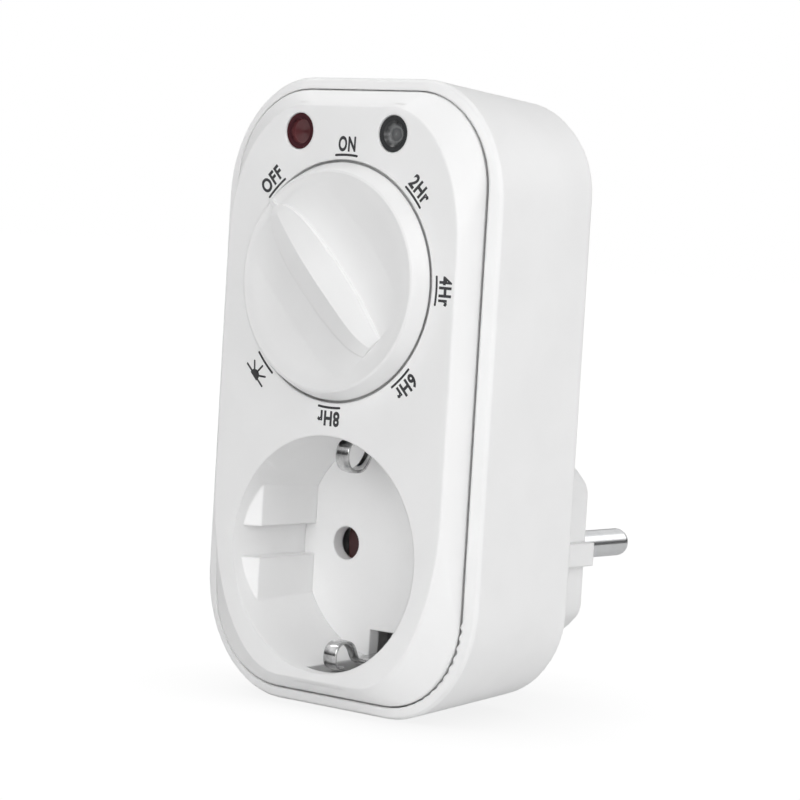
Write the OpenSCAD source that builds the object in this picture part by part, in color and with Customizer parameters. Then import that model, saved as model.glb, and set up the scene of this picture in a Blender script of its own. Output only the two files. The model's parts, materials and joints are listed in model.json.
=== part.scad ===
// Plug-in timer switch: a socket adapter with a rotary countdown dial, a light sensor and an indicator.
// +X is to the right, +Y runs from the front panel to the plug, +Z is up.
// The origin is the centre of the plug's engagement face. Depths are measured back from the front panel.

/* [Housing] */
// Width of the housing at its front rim
body_w = 57.4; // [57:0.1:59]
// Height of the housing at its front rim
body_h = 102.4; // [101.8:0.1:104]
// Depth of the body, front panel to back wall
body_depth = 32.2; // [32:0.1:34]
// Height of the socket axis above the bottom of the housing
socket_up = 25.4; // [25.2:0.1:26]
// Amount by which each side narrows towards the back
side_taper = 2.0; // [1.6:0.1:2.2]
// Amount by which the top and bottom narrow towards the back
end_taper = 1.7; // [1.4:0.1:2]
// Width of a rim corner, measured across the housing
corner_w = 17; // [16:0.5:18]
// Height of a rim corner, measured along the housing
corner_h = 20; // [18:0.5:21]
// Thickness of the back wall
back_wall = 2; // [1.8:0.1:2.2]

/* [Front cover] */
// Visible width of the housing rim at each side of the cover
side_rim = 2.5; // [2.4:0.1:2.8]
// Visible width of the housing rim above and below the cover
end_rim = 1.9; // [1.8:0.1:2.2]
// Width of the shadow gap round the cover
shadow_gap = 0.35; // [0.3:0.05:0.5]
// Depth at which the bevel of the cover meets the rim
bevel_depth = 4.2; // [4:0.1:4.6]
// Width of the bevel at each side
side_bevel = 1.65; // [1.4:0.05:1.9]
// Width of the bevel above and below the flat
end_bevel = 2.4; // [2.2:0.1:2.6]
// Thickness of the cover
cover_wall = 2.4; // [2.2:0.1:2.6]

/* [Socket] */
// Radius of the socket recess
recess_r = 19.2; // [19.1:0.05:19.4]
// Depth of the socket recess
recess_depth = 17.5; // [17.5:0.1:18]
// Amount by which the recess narrows from its rim to its floor
recess_draft = 0.5; // [0.4:0.05:0.6]
// Thickness of the recess wall
recess_wall = 1.8; // [1.6:0.1:1.9]
// Thickness of the recess floor
floor_wall = 2.4; // [2.2:0.1:2.5]
// Distance between the two pins
pin_spacing = 19; // [18.8:0.1:19.2]
// Radius of a pin hole in the recess floor
pin_hole_r = 2.8; // [2.7:0.05:2.9]
// Distance from the axis to the face of a guide rib
rib_face = 16.4; // [16.3:0.1:16.8]
// Width of the slot between two guide ribs
rib_slot = 5.2; // [5:0.1:5.6]
// Height of a guide rib above the axis
rib_top = 9.7; // [9.4:0.1:9.8]
// Depth at which the face of a guide rib starts
rib_start = 3.7; // [3.4:0.1:4]
// Width of an earth clip
clip_w = 2.8; // [2.6:0.1:3.2]
// Distance from the axis to the crown of an earth clip
clip_crown = 14.3; // [14.2:0.1:14.6]

/* [Plug] */
// Length of the moulded plug boss
boss_len = 20.4; // [20:0.1:21]
// Radius of the plug boss
boss_r = 18.4; // [18.3:0.05:18.6]
// Distance from the axis to the flat at each side of the boss
boss_flat = 15; // [14.9:0.1:15.2]
// Distance from the axis to the top of a guide ridge
ridge_out = 17; // [16.8:0.1:17.2]
// Width of a guide ridge
ridge_w = 4; // [3.8:0.1:4.2]
// Distance from the pins down to the middle of the guide ridges
ridge_drop = 0.5; // [0:0.1:0.6]
// Rounding between a flat and the round of the boss
boss_corner = 4; // [3:0.5:5]
// Rounding of the plug boss at its face
boss_round = 0.9; // [0.7:0.1:1.2]
// Radius of a plug pin
pin_r = 2.4; // [2.35:0.05:2.45]
// Length of a plug pin in front of the plug face
pin_len = 18; // [17.5:0.1:19]
// Radius of the earth hole in the plug face
earth_hole_r = 2.6; // [2.5:0.05:2.7]
// Distance from the pins to the earth hole
earth_hole_up = 10; // [9.8:0.1:10.2]

/* [Dial] */
// Distance from the socket recess up to the round well that the knob turns in
dial_above = 5.35; // [5:0.05:6]
// Distance from the top of the housing down to the dial well
dial_below = 13.35; // [13:0.05:14]
// Distance from each side of the housing to the dial well
dial_side = 9.15; // [9:0.05:10]
// Radial gap between the knob and its well
knob_gap = 0.45; // [0.35:0.05:0.6]
// Amount by which the skirt of the knob leans in towards its crest
knob_lean = 1.5; // [1.2:0.1:1.8]
// Height of the crest above the panel
crest_h = 2.9; // [2.6:0.1:3.2]
// Height of the dish floor above the panel
dish_h = 1.6; // [1.4:0.05:1.8]
// Height of the grip ridge above the panel
ridge_h = 5.5; // [5.2:0.1:6]
// Half-width of the grip bar at its widest place
grip_half_w = 4; // [3.8:0.1:4.2]
// Radius of the dial shaft
shaft_r = 3; // [2.9:0.05:3.1]
// Radial clearance of the shaft in its bush
shaft_play = 0.05; // [0.03:0.01:0.08]

/* [Lenses] */
// Distance from the centre line to each lens
lens_x = 9.8; // [9.6:0.1:10]
// Distance from the top of the housing down to the lenses
lens_drop = 9; // [8.8:0.1:9.2]
// Radius of a lens hole
lens_hole_r = 2.98; // [2.9:0.02:3.1]

/* [Hidden] */
$fn = 64;

plastic_white = "#ececec";
face_y = -(body_depth + boss_len);
plug_face = body_depth + boss_len;
half_w = body_w / 2;
body_top = body_h - socket_up;
body_bottom = -socket_up;
pin_x = pin_spacing / 2;
dial_room = body_top - dial_below - recess_r - dial_above;
dial_well_r = min(dial_room / 2, half_w - dial_side);
dial_up = recess_r + dial_above + dial_room / 2;
knob_r = dial_well_r - knob_gap;
crest_r = knob_r - knob_lean;
lens_up = body_top - lens_drop;
corner_steps = 14;
cut = 1;

// An outline is [half-width, top, bottom, top corner width and height, bottom corner width and height]
rim_outline = [half_w, body_top, body_bottom, corner_w, corner_h, corner_w, corner_h];
back_outline = [half_w - side_taper, body_top - end_taper, body_bottom + end_taper, 15.5, 15.5, 15.5, 15.5];
opening = [half_w - side_rim, body_top - end_rim, body_bottom + end_rim, 14.9, 15.8, 14.9, 15.8];
cover_edge = grown(opening, -shadow_gap);
cover_flat = [cover_edge[0] - side_bevel, cover_edge[1] - end_bevel, cover_edge[2] + end_bevel, 15, 22, 16, 30];

// Depths of the parts behind the panel
seat = 8.6;
back_inner = body_depth - back_wall;
cavity_front = [opening[0] - 1, opening[1] - 1, opening[2] + 1, 13.9, 14.8, 13.9, 14.8];
cavity_back = grown(back_outline, -back_wall - 0.2);
well_depth = 2;
well_floor = 2;
bush_end = 5.2;
board_front = 14.6;
board_t = 1.6;
board_back = board_front + board_t;
floor_back = recess_depth + floor_wall;
shutter_gap = 0.35;
shutter_front = floor_back + shutter_gap;
shutter_t = 1.5;
shutter_post_r = 2.5;
strap_gap = 1.25;
strap_front = shutter_front + shutter_t + strap_gap;
strip_t = 0.8;
block_front = strap_front - 0.1;
end_wall = 4;
boss_wall = 2.2;
flat_wall = 1.6;
plug_strap_depth = plug_face - end_wall - 1.8;
bar_depth = plug_strap_depth - 2.8;
block_back = bar_depth - 0.6;
fixed_play = 0.05;
open_play = 0.3;
screw_top = [half_w - 11.2, body_top - 11];
screw_low = [half_w - 12.1, body_bottom + 9.6];
case_screw_places = [for (p = [screw_top, screw_low]) for (s = [-1, 1]) [s * p[0], p[1]]];
board_half = half_w - 8.2;
board_low = recess_r + recess_wall + 3.5;
board_high = body_top - 6;
board_room = back_inner - board_back;
board_screw_x = board_half - 2.3;
board_screw_places = [for (z = [board_low + 4, board_high - 13]) for (s = [-1, 1]) [s * board_screw_x, z]];
case_boss_r = 2.9;
case_boss_start = 3.4;
board_boss_r = 2.5;
screw_r = 1.3;
head_r = 2.6;
head_seat = back_inner - 2.2;
screw_split = head_seat - 4;
board_screw_r = 1;
lens_back = cover_wall + 1;
contact_front = strap_front + 1;
contact_r = 3.15;
pin_root_r = pin_r + 0.25;
block_half_x = pin_x + contact_r + 0.45;
block_half_z = 8.6;

function grown(o, g) = [o[0] + g, o[1] + g, o[2] - g, o[3] + g, o[4] + g, o[5] + g, o[6] + g];
function corner(cx, cz, rx, rz, start) =
    [for (i = [0:corner_steps]) let (a = start + 90 * i / corner_steps) [cx + rx * cos(a), cz + rz * sin(a)]];
function outline(o) = concat(
    corner(o[0] - o[3], o[1] - o[4], o[3], o[4], 0),
    corner(-o[0] + o[3], o[1] - o[4], o[3], o[4], 90),
    corner(-o[0] + o[5], o[2] + o[6], o[5], o[6], 180),
    corner(o[0] - o[5], o[2] + o[6], o[5], o[6], 270));

// Closed solid through sections of equal length, each a list of points in space; a fan closes each end,
// from the middle of the section or from a given pair of hubs
function mean(list) = [for (k = [0:2]) [for (p = list) p[k]] * [for (p = list) 1] / len(list)];
module skin(sections, hubs = undef) {
    n = len(sections[0]);
    last = len(sections) - 1;
    front_hub = n * len(sections);
    back_hub = front_hub + 1;
    points = concat([for (c = sections) for (p = c) p],
                    is_undef(hubs) ? [mean(sections[0]), mean(sections[last])] : hubs);
    sides = [for (k = [0:last - 1]) for (i = [0:n - 1]) let (j = (i + 1) % n, a = k * n, b = a + n)
             for (f = [[a + i, a + j, b + j], [a + i, b + j, b + i]]) f];
    front = [for (i = [0:n - 1]) [front_hub, (i + 1) % n, i]];
    back = [for (i = [0:n - 1]) [back_hub, last * n + i, last * n + (i + 1) % n]];
    polyhedron(points, concat(front, back, sides));
}

// Skin through rings, each given as [depth, points across and up]
module loft(rings) {
    skin([for (r = rings) [for (p = r[1]) [p[0], face_y + r[0], p[1]]]]);
}

// Flat shape, drawn across and up, made solid from one depth over a length
module plate(depth, length) {
    translate([0, face_y + depth + length, 0]) rotate([90, 0, 0]) linear_extrude(length) children();
}

module rod(depth, length, r, x = 0, z = 0) {
    plate(depth, length) translate([x, z]) circle(r);
}

module block(depth, length, x0, x1, z0, z1) {
    plate(depth, length) translate([x0, z0]) square([x1 - x0, z1 - z0]);
}

// Profile of [radius, depth] turned about an axis along Y
module turned(profile, x = 0, z = 0) {
    translate([x, face_y, z]) rotate([-90, 0, 0]) rotate_extrude() polygon(profile);
}

module rotate_about_dial(a) {
    translate([0, 0, dial_up]) rotate([0, a, 0]) translate([0, 0, -dial_up]) children();
}

// Bent strip: a path of [height, depth] made into a band of even thickness and width
function unit(v) = v / norm(v);
function side_of(v) = [-v[1], v[0]];
function path_normal(p, i) =
    i == 0 ? side_of(unit(p[1] - p[0])) :
    i == len(p) - 1 ? side_of(unit(p[i] - p[i - 1])) :
    let (a = side_of(unit(p[i] - p[i - 1])), b = side_of(unit(p[i + 1] - p[i])), m = unit(a + b))
    m / max(0.4, m * a);
module strip(path, width, t, x = 0) {
    last = len(path) - 1;
    near = [for (i = [0:last]) path[i] + path_normal(path, i) * t / 2];
    far = [for (i = [last:-1:0]) path[i] - path_normal(path, i) * t / 2];
    edge = [for (p = concat(near, far)) [face_y + p[1], p[0]]];
    translate([x - width / 2, 0, 0]) rotate([90, 0, 90]) linear_extrude(width) polygon(edge);
}

module ribs() {
    lead = 1.7;
    outer = recess_r + recess_wall / 2;
    for (side = [-1, 1]) for (up = [0, 1]) mirror([0, 0, up]) {
        intersection() {
            rod(rib_start - lead, recess_depth - rib_start + lead, outer);
            translate([0, 0, rib_slot / 2]) linear_extrude(rib_top - rib_slot / 2)
                polygon([[side * rib_face, face_y + rib_start],
                         [side * (recess_r - 0.4), face_y + rib_start - lead],
                         [side * (outer + cut), face_y + rib_start - lead],
                         [side * (outer + cut), face_y + recess_depth + cut],
                         [side * rib_face, face_y + recess_depth + cut]]);
        }
    }
}

// Openings in the recess wall and floor that an earth clip stands in
module clip_windows() {
    window_w = 6.4;
    slot_start = 2;
    slot_out = recess_r + 1;
    window_in = clip_crown - 0.5;
    for (up = [0, 1]) mirror([0, 0, up]) {
        block(slot_start, floor_back - slot_start + cut, -window_w / 2, window_w / 2, foot_up - 1, slot_out);
        block(recess_depth - 0.2, floor_wall + cut, -window_w / 2, window_w / 2, window_in, foot_up);
    }
}

module front_cover() {
    lip = 0.4;
    root = 1;
    collar_len = 3.6;
    collar_r = lens_hole_r + 1.9;
    color(plastic_white) union() {
        difference() {
            union() {
                difference() {
                    loft([[0, outline(grown(cover_flat, -lip))],
                          [0.1, outline(grown(cover_flat, -lip / 3))],
                          [0.5, outline(grown(cover_flat, 0.1))],
                          [bevel_depth - 0.3, outline(grown(cover_edge, -0.2))],
                          [bevel_depth + 0.1, outline(cover_edge)],
                          [seat, outline(cover_edge)]]);
                    loft([[cover_wall, outline(grown(cover_flat, -1.4))],
                          [bevel_depth + 1, outline(grown(cover_edge, -2))],
                          [seat + cut, outline(grown(cover_edge, -2))]]);
                }
                rod(root, recess_depth - root, recess_r + recess_wall);
                rod(root, well_depth + well_floor - root, dial_well_r + 1.5, 0, dial_up);
                rod(root, bush_end - root, shaft_r + 2.4, 0, dial_up);
                for (s = [-1, 1]) rod(root, collar_len, collar_r, s * lens_x, lens_up);
                for (p = case_screw_places)
                    rod(case_boss_start, screw_split - case_boss_start, case_boss_r, p[0], p[1]);
                for (p = board_screw_places)
                    rod(root, board_front - root, board_boss_r, p[0], p[1]);
            }
            turned([[0, -cut], [recess_r, -cut], [recess_r, 0], [recess_r - recess_draft, recess_depth],
                    [recess_r - recess_draft, recess_depth + cut], [0, recess_depth + cut]]);
            rod(-cut, well_depth + cut, dial_well_r, 0, dial_up);
            rod(-cut, bush_end + 2 * cut, shaft_r + shaft_play, 0, dial_up);
            for (s = [-1, 1]) {
                rod(-cut, lens_back + 2 * cut, lens_hole_r, s * lens_x, lens_up);
                rod(cover_wall, lens_back + cut, lens_hole_r + 1, s * lens_x, lens_up);
            }
            clip_windows();
            for (p = case_screw_places)
                rod(head_seat - case_screw_len - 1, screw_split - head_seat + case_screw_len + 1 + cut,
                    screw_r + fixed_play, p[0], p[1]);
            for (p = board_screw_places)
                rod(board_back - board_screw_len - 0.6, board_screw_len + 0.6, board_screw_r + fixed_play,
                    p[0], p[1]);
        }
        ribs();
    }
}

// Floor of the recess, a plate between the bosses: it has the pin holes, and the post that the shutter turns on
module socket_floor() {
    post_sunk = 0.5;
    color(plastic_white) union() {
        difference() {
            rod(recess_depth, floor_wall, recess_r + recess_wall);
            for (s = [-1, 1]) rod(recess_depth - cut, floor_wall + 2 * cut, pin_hole_r, s * pin_x, 0);
            clip_windows();
            for (p = case_screw_places)
                rod(recess_depth - cut, floor_wall + 2 * cut, case_boss_r + fixed_play, p[0], p[1]);
        }
        rod(floor_back - post_sunk, strap_front - floor_back - 0.7 + post_sunk, shutter_post_r);
    }
}

// Outline of the plug boss, drawn in by a margin: round above and below, a flat with a guide ridge at each
// side, and a rounded corner where a flat meets the round
boss_steps = 8;
fillet_steps = 4;
fillet_x = boss_flat - boss_corner;
fillet_z = sqrt(pow(boss_r - boss_corner, 2) - pow(fillet_x, 2));
fillet_turn = atan2(fillet_z, fillet_x);
function boss_quarter(m, up) =
    let (r = boss_r - m, corner_r = boss_corner - m, half = ridge_w / 2 - m / 2 - up * ridge_drop)
    concat([[ridge_out - m, half], [boss_flat - m, half]],
           [for (i = [0:fillet_steps]) let (a = fillet_turn * i / fillet_steps)
            [fillet_x + corner_r * cos(a), fillet_z + corner_r * sin(a)]],
           [for (i = [1:boss_steps]) let (a = fillet_turn + (90 - fillet_turn) * i / boss_steps)
            [r * cos(a), r * sin(a)]]);
function reversed(list) = [for (i = [len(list) - 1:-1:0]) list[i]];
function boss_outline(m) =
    let (q = boss_quarter(m, 1), b = boss_quarter(m, -1), n = len(q))
    concat(q,
           [for (i = [n - 2:-1:0]) [-q[i][0], q[i][1]]],
           [for (p = b) [-p[0], -p[1]]],
           [for (i = [n - 2:-1:0]) [b[i][0], -b[i][1]]]);

module boss_shell() {
    overlap = 0.4;
    straight = plug_face - boss_round - back_inner - 0.5;
    plate(back_inner + 0.5, straight) union() {
        difference() {
            intersection() {
                circle(boss_r);
                square([2 * boss_flat, 3 * boss_r], center = true);
            }
            for (s = [-1, 1]) for (t = [-1, 1]) translate([s * fillet_x, t * fillet_z]) difference() {
                polygon([[0, 0], [s * 2 * boss_corner, 0],
                         [s * 2 * boss_corner, t * 2 * boss_corner * tan(fillet_turn)]]);
                circle(boss_corner);
            }
        }
        translate([0, -ridge_drop]) square([2 * ridge_out, ridge_w], center = true);
    }
    rings = [for (a = [0:30:90])
             [plug_face - boss_round * (1 - sin(a)), boss_outline(boss_round * (1 - cos(a)) + 0.01)]];
    loft(concat([[plug_face - boss_round - overlap, boss_outline(0.01)]], rings));
}

module rear_housing() {
    pillar_r = head_r + open_play + 0.9;
    window_gap = 0.4;
    color(plastic_white) difference() {
        union() {
            difference() {
                loft([[bevel_depth - 0.3, outline(grown(opening, -0.3))],
                      [bevel_depth + 0.05, outline(grown(rim_outline, -1.1))],
                      [bevel_depth + 0.35, outline(grown(rim_outline, -0.4))],
                      [bevel_depth + 1, outline(rim_outline)],
                      [body_depth - 1.2, outline(back_outline)],
                      [body_depth - 0.35, outline(grown(back_outline, -0.4))],
                      [body_depth, outline(grown(back_outline, -1.3))]]);
                loft([[0, outline(opening)], [seat, outline(opening)]]);
                loft([[seat - cut, outline(cavity_front)], [back_inner, outline(cavity_back)]]);
            }
            boss_shell();
            for (p = case_screw_places) rod(screw_split, back_inner - screw_split + 0.5, pillar_r, p[0], p[1]);
        }
        plate(back_inner - cut, plug_face - end_wall - back_inner + cut) intersection() {
            circle(boss_r - boss_wall);
            square([2 * (boss_flat - flat_wall), 2 * boss_r], center = true);
        }
        for (s = [-1, 1])
            rod(plug_face - end_wall - cut, end_wall + 2 * cut, pin_root_r + fixed_play, s * pin_x, 0);
        rod(plug_face - end_wall - cut, end_wall + 2 * cut, earth_hole_r, 0, earth_hole_up);
        for (up = [0, 1]) mirror([0, 0, up])
            block(plug_clip_mid - plug_clip_half - 1.2, 2 * plug_clip_half + 2.8, -plug_clip_w / 2 - window_gap,
                  plug_clip_w / 2 + window_gap, plug_clip_foot, boss_r + cut);
        for (p = case_screw_places) {
            rod(screw_split - cut, body_depth - screw_split + 2 * cut, screw_r + open_play, p[0], p[1]);
            rod(head_seat, body_depth - head_seat + cut, head_r + open_play, p[0], p[1]);
        }
    }
}

// Height of the dish above the panel at a distance from the dial axis
land_w = 2;
land_drop = 0.2;
dish_edge_r = crest_r - land_w;
function dish(r) = r > dish_edge_r ? crest_h - land_drop :
    dish_h + (crest_h - land_drop - dish_h) * pow(r / dish_edge_r, 3.4);

// Grip bar along the pointer line; s runs from the pointer end to the square end. Each section is a low roof
// that ends at an edge, below which a short wall meets a broad foot that runs out into the dish.
grip_angle = -45;
grip_start = -(crest_r - 1.6);
grip_end = crest_r - 3.4;
grip_mid = -1.65;
foot_w = dish_edge_r - 8.6;
foot_h = 1.5;
function grip_along(s) =
    s < grip_mid ? (grip_mid - s) / (grip_mid - grip_start) : (s - grip_mid) / (grip_end - grip_mid);
function grip_w(s) = let (u = grip_along(s))
    grip_half_w * (s < grip_mid ? sqrt(max(0.012, 1 - pow(u, 2.5))) : 1 - 0.45 * pow(u, 3));
function grip_top(s) = ridge_h * (s < 0 ? 1 - 0.372 * pow(s / grip_start, 2) :
    1 - 0.12 * pow(s / grip_end, 2) - 0.33 * pow(s / grip_end, 8));
function grip_fall(s) = s < 0 ? 0.42 + 0.016 * s : 0.42 - 0.15 * pow(s / grip_end, 4);
function grip_edge(s) = grip_top(s) - grip_fall(s) * grip_w(s);
function grip_foot(s) = foot_h * (1 - pow(grip_along(s), 4));
function grip_half(s) =
    let (w = grip_w(s), wall = [w + 0.12, min(grip_edge(s) - 0.1, dish(norm([s, w])) + grip_foot(s))])
    concat([[w, grip_edge(s)], wall],
           [for (u = [0.2:0.2:1]) let (t = w + 0.12 + foot_w * u)
            [t, dish(norm([s, t])) + (u < 0.99 ? grip_foot(s) * pow(1 - u, 2) : -0.3)]]);
grip_base = 0.4;
function grip_section(s) =
    let (half = concat(grip_half(s), [[grip_w(s) + foot_w - 0.4, grip_base]]))
    concat([for (p = reversed(half)) [-p[0], p[1]]], [[0, grip_top(s)]], half);
function grip_point(s, t, h) = [s * cos(grip_angle) - t * sin(grip_angle), -h,
                                s * sin(grip_angle) + t * cos(grip_angle)];
module grip() {
    steps = 26;
    half_len = (grip_end - grip_start) / 2;
    sections = [for (i = [0:steps]) let (s = grip_start + half_len * (1 - cos(180 * i / steps)))
                [for (p = grip_section(s)) grip_point(s, p[0], p[1])]];
    hubs = [for (s = [grip_start, grip_end]) grip_point(s, 0, grip_base + 0.4)];
    translate([0, face_y, dial_up]) skin(sections, hubs);
}

module knob() {
    under = 1.6;
    dish_steps = 10;
    tip_half = 0.4;
    tip_h = 0.2;
    dish_line = [for (i = [0:dish_steps]) let (r = dish_edge_r * i / dish_steps) [r, -dish(r)]];
    color(plastic_white) difference() {
        union() {
            turned(concat(dish_line, [[crest_r - 0.7, -crest_h + land_drop / 2], [crest_r - 0.2, -crest_h],
                                      [crest_r + 0.2, -crest_h + 0.15], [crest_r + 0.5, -crest_h + 0.6],
                                      [knob_r, 0], [knob_r, under], [0, under]]), 0, dial_up);
            grip();
            rotate_about_dial(grip_angle)
                block(-crest_h - tip_h, crest_h, -tip_half, tip_half, dial_up - grip_start - 0.5,
                      dial_up + crest_r + 0.3);
        }
        rod(-shaft_in, under + shaft_in + cut, shaft_r + 0.02, 0, dial_up);
    }
}

// Dial shaft, held in the bush of the cover by a split ring in its groove
shaft_in = 0.4;
groove_front = bush_end + 0.1;
groove_r = shaft_r - 0.5;
ring_t = 0.5;
module dial_shaft() {
    shaft_end = rotor_front + rotor_t + 1;
    color("#d8d8d0") turned([[0, -shaft_in], [shaft_r, -shaft_in], [shaft_r, groove_front],
                            [groove_r, groove_front], [groove_r, groove_front + ring_t],
                            [shaft_r, groove_front + ring_t], [shaft_r, shaft_end], [0, shaft_end]],
                           0, dial_up);
}

module shaft_ring() {
    ring_r = shaft_r + 1.5;
    split = 2.4;
    color("#b8bcc0") difference() {
        rod(groove_front + 0.02, ring_t - 0.04, ring_r, 0, dial_up);
        rod(groove_front - cut, ring_t + 2 * cut, groove_r + 0.02, 0, dial_up);
        block(groove_front - cut, ring_t + 2 * cut, -split / 2, split / 2, dial_up - ring_r - cut, dial_up);
    }
}

switch_front = 6;
cavity_end = board_front - 1;
rotor_front = 8.6;
rotor_t = 2.4;
rotor_r = 8;
module switch_body() {
    side = 24;
    front_wall = 1.4;
    color("#3a5f9a") difference() {
        block(switch_front, board_front - switch_front, -side / 2, side / 2,
              dial_up - side / 2, dial_up + side / 2);
        rod(switch_front + front_wall, cavity_end - switch_front - front_wall, rotor_r + 1.4, 0, dial_up);
        rod(switch_front - cut, front_wall + 2 * cut, shaft_r + open_play, 0, dial_up);
    }
}

module switch_rotor() {
    notches = 8;
    notch_r = 1;
    color("#e8e2cc") difference() {
        rod(rotor_front, rotor_t, rotor_r, 0, dial_up);
        rod(rotor_front - cut, rotor_t + 2 * cut, shaft_r + 0.02, 0, dial_up);
        for (i = [0:notches - 1]) rotate_about_dial(i * 360 / notches)
            rod(rotor_front - cut, rotor_t + 2 * cut, notch_r, rotor_r + 0.4, dial_up);
    }
}

// Disc spring: its rim stands on the back of the switch cavity and its inner edge presses on the rotor
module detent_spring() {
    t = 0.3;
    inner_r = shaft_r + 1;
    outer_r = 7.6;
    low = rotor_front + rotor_t + open_play;
    color("#c8ccd0") turned([[inner_r, low], [inner_r + t, low], [outer_r, cavity_end - t],
                             [outer_r, cavity_end], [outer_r - t, cavity_end]], 0, dial_up);
}

// Lens with a flange behind the cover; face is the line of [radius, depth] across its hollow front
module lens(x, face) {
    body_r = lens_hole_r - 0.1;
    flange_r = lens_hole_r + 0.9;
    turned(concat(face, [[body_r, 0.25], [body_r, cover_wall], [flange_r, cover_wall], [flange_r, lens_back],
                         [0, lens_back]]), x, lens_up);
}
module indicator_lens() { color("#7a1f26") lens(-lens_x, [[0, 1.5], [1.9, 1], [2.1, 0.3]]); }
module sensor_lens() { color("#707478") lens(lens_x, [[0, 0.9], [1.3, 1], [2.1, 0.3]]); }

// Pair of wire legs from a component to the front of the board
module legs(depth, x) {
    pitch = 2.54;
    half = 0.25;
    for (s = [-1, 1]) let (mid = x + s * pitch / 2)
        block(depth, board_front - depth, mid - half, mid + half, lens_up - half, lens_up + half);
}

module indicator_led() {
    led_r = 2.5;
    rim_r = 2.9;
    rim = lens_back + 6;
    led_end = rim + 1;
    dome = [for (a = [0:15:90]) [led_r * sin(a), lens_back + 0.1 + led_r * (1 - cos(a))]];
    color("#b0262c") union() {
        turned(concat(dome, [[led_r, rim], [rim_r, rim], [rim_r, led_end], [0, led_end]]), -lens_x, lens_up);
        legs(led_end - 0.4, -lens_x);
    }
}

module sensor_cell() {
    cell_t = 2.2;
    color("#c86a3a") union() {
        rod(lens_back, cell_t, 2.5, lens_x, lens_up);
        legs(lens_back + cell_t - 0.4, lens_x);
    }
}

module circuit_board() {
    round_r = 11;
    color("#2f6b3c") plate(board_front, board_t) difference() {
        union() {
            translate([-board_half, board_low]) square([2 * board_half, board_high - round_r - board_low]);
            translate([-board_half + round_r, board_low])
                square([2 * (board_half - round_r), board_high - board_low]);
            for (s = [-1, 1]) translate([s * (board_half - round_r), board_high - round_r]) circle(round_r);
        }
        for (p = case_screw_places) translate(p) circle(case_boss_r + 0.4);
        for (p = board_screw_places) translate(p) circle(board_screw_r + 0.4);
    }
}

// Parts behind the board stand in three rows: bridge and reservoir below, relay and film capacitor between,
// fuse and resistor above
part_gap = 2;
low_row = board_low + 8.5;
low_row_top = board_low + 15.5;
high_row = board_high - 9;
mid_row_top = board_high - 16;

module relay() {
    color("#2c4f9e") block(board_back, board_room - part_gap, 1.5 - board_half, -1, low_row_top, mid_row_top);
}

module mains_capacitor() {
    color("#d9b23a") block(board_back, board_room - part_gap, 1.5, board_half - 1, low_row_top + part_gap,
                           mid_row_top);
}

module reservoir_capacitor() {
    can_r = 4;
    color("#26282c") rod(board_back, board_room - part_gap - 1, can_r, 6, low_row + can_r);
}

module varistor() {
    disc_r = 4.4;
    disc_t = 3.6;
    disc_x = 13;
    color("#2f6fb8") translate([disc_x, 0, 0]) rotate([0, 90, 0]) linear_extrude(disc_t)
        translate([-low_row - disc_r + 0.4, face_y + board_back + disc_r]) circle(disc_r);
}

module fuse() {
    can_r = 4.2;
    can_len = 8;
    color("#8a5a30") rod(board_back, can_len, can_r, -8, high_row);
}

module rectifier_diodes() {
    diode_r = 1.2;
    diode_len = 5;
    pitch = 4;
    first = -17;
    color("#202020") for (i = [0:3])
        translate([first + i * pitch, face_y + board_back + diode_r, low_row])
            cylinder(r = diode_r, h = diode_len);
}

module dropper_resistor() {
    body_r = 1.6;
    body_len = 9;
    color("#7fb0c0") translate([-2, face_y + board_back + body_r, high_row]) rotate([0, 90, 0])
        cylinder(r = body_r, h = body_len);
}

module controller_chip() {
    chip_t = 1.5;
    chip_half = 4.4;
    low = board_high - 6.5;
    color("#1c1c1e") block(board_front - chip_t, chip_t, -chip_half, chip_half, low, low + 4);
}

// Plug pin: a tail behind the wall, a flange against it, a thicker root through it and the free pin
module pin(x) {
    tip = 1.5;
    shoulder = plug_face - end_wall;
    rings = [for (a = [0:15:90]) [pin_r - tip * (1 - cos(a)), plug_face + pin_len - tip * (1 - sin(a))]];
    flange_r = pin_r + 1;
    tail_r = pin_r - 0.4;
    turned(concat([[0, bar_depth + strip_t], [tail_r, bar_depth + strip_t], [tail_r, shoulder - 1.4],
                   [flange_r, shoulder - 1.4], [flange_r, shoulder], [pin_root_r, shoulder],
                   [pin_root_r, plug_face], [pin_r, plug_face]],
                  rings, [[0, plug_face + pin_len]]), x, 0);
}

module live_pin() { color("#c9ccd0") pin(pin_x); }
module neutral_pin() { color("#c9ccd0") pin(-pin_x); }

// Contact tube: bored for a plug pin and slit crosswise at its mouth
module contact(x, back) {
    bore_len = 14;
    slit_len = 9;
    slit = 0.7;
    difference() {
        rod(contact_front, back - contact_front, contact_r, x, 0);
        rod(contact_front - cut, bore_len + cut, pin_r, x, 0);
        for (a = [0, 90]) translate([x, 0, 0]) rotate([0, a, 0])
            block(contact_front - cut, slit_len + cut, -contact_r - cut, contact_r + cut, -slit / 2, slit / 2);
    }
}
module live_contact() { color("#d0a850") contact(pin_x, bar_depth - 4); }
module neutral_contact() { color("#d0a850") contact(-pin_x, bar_depth); }

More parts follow.
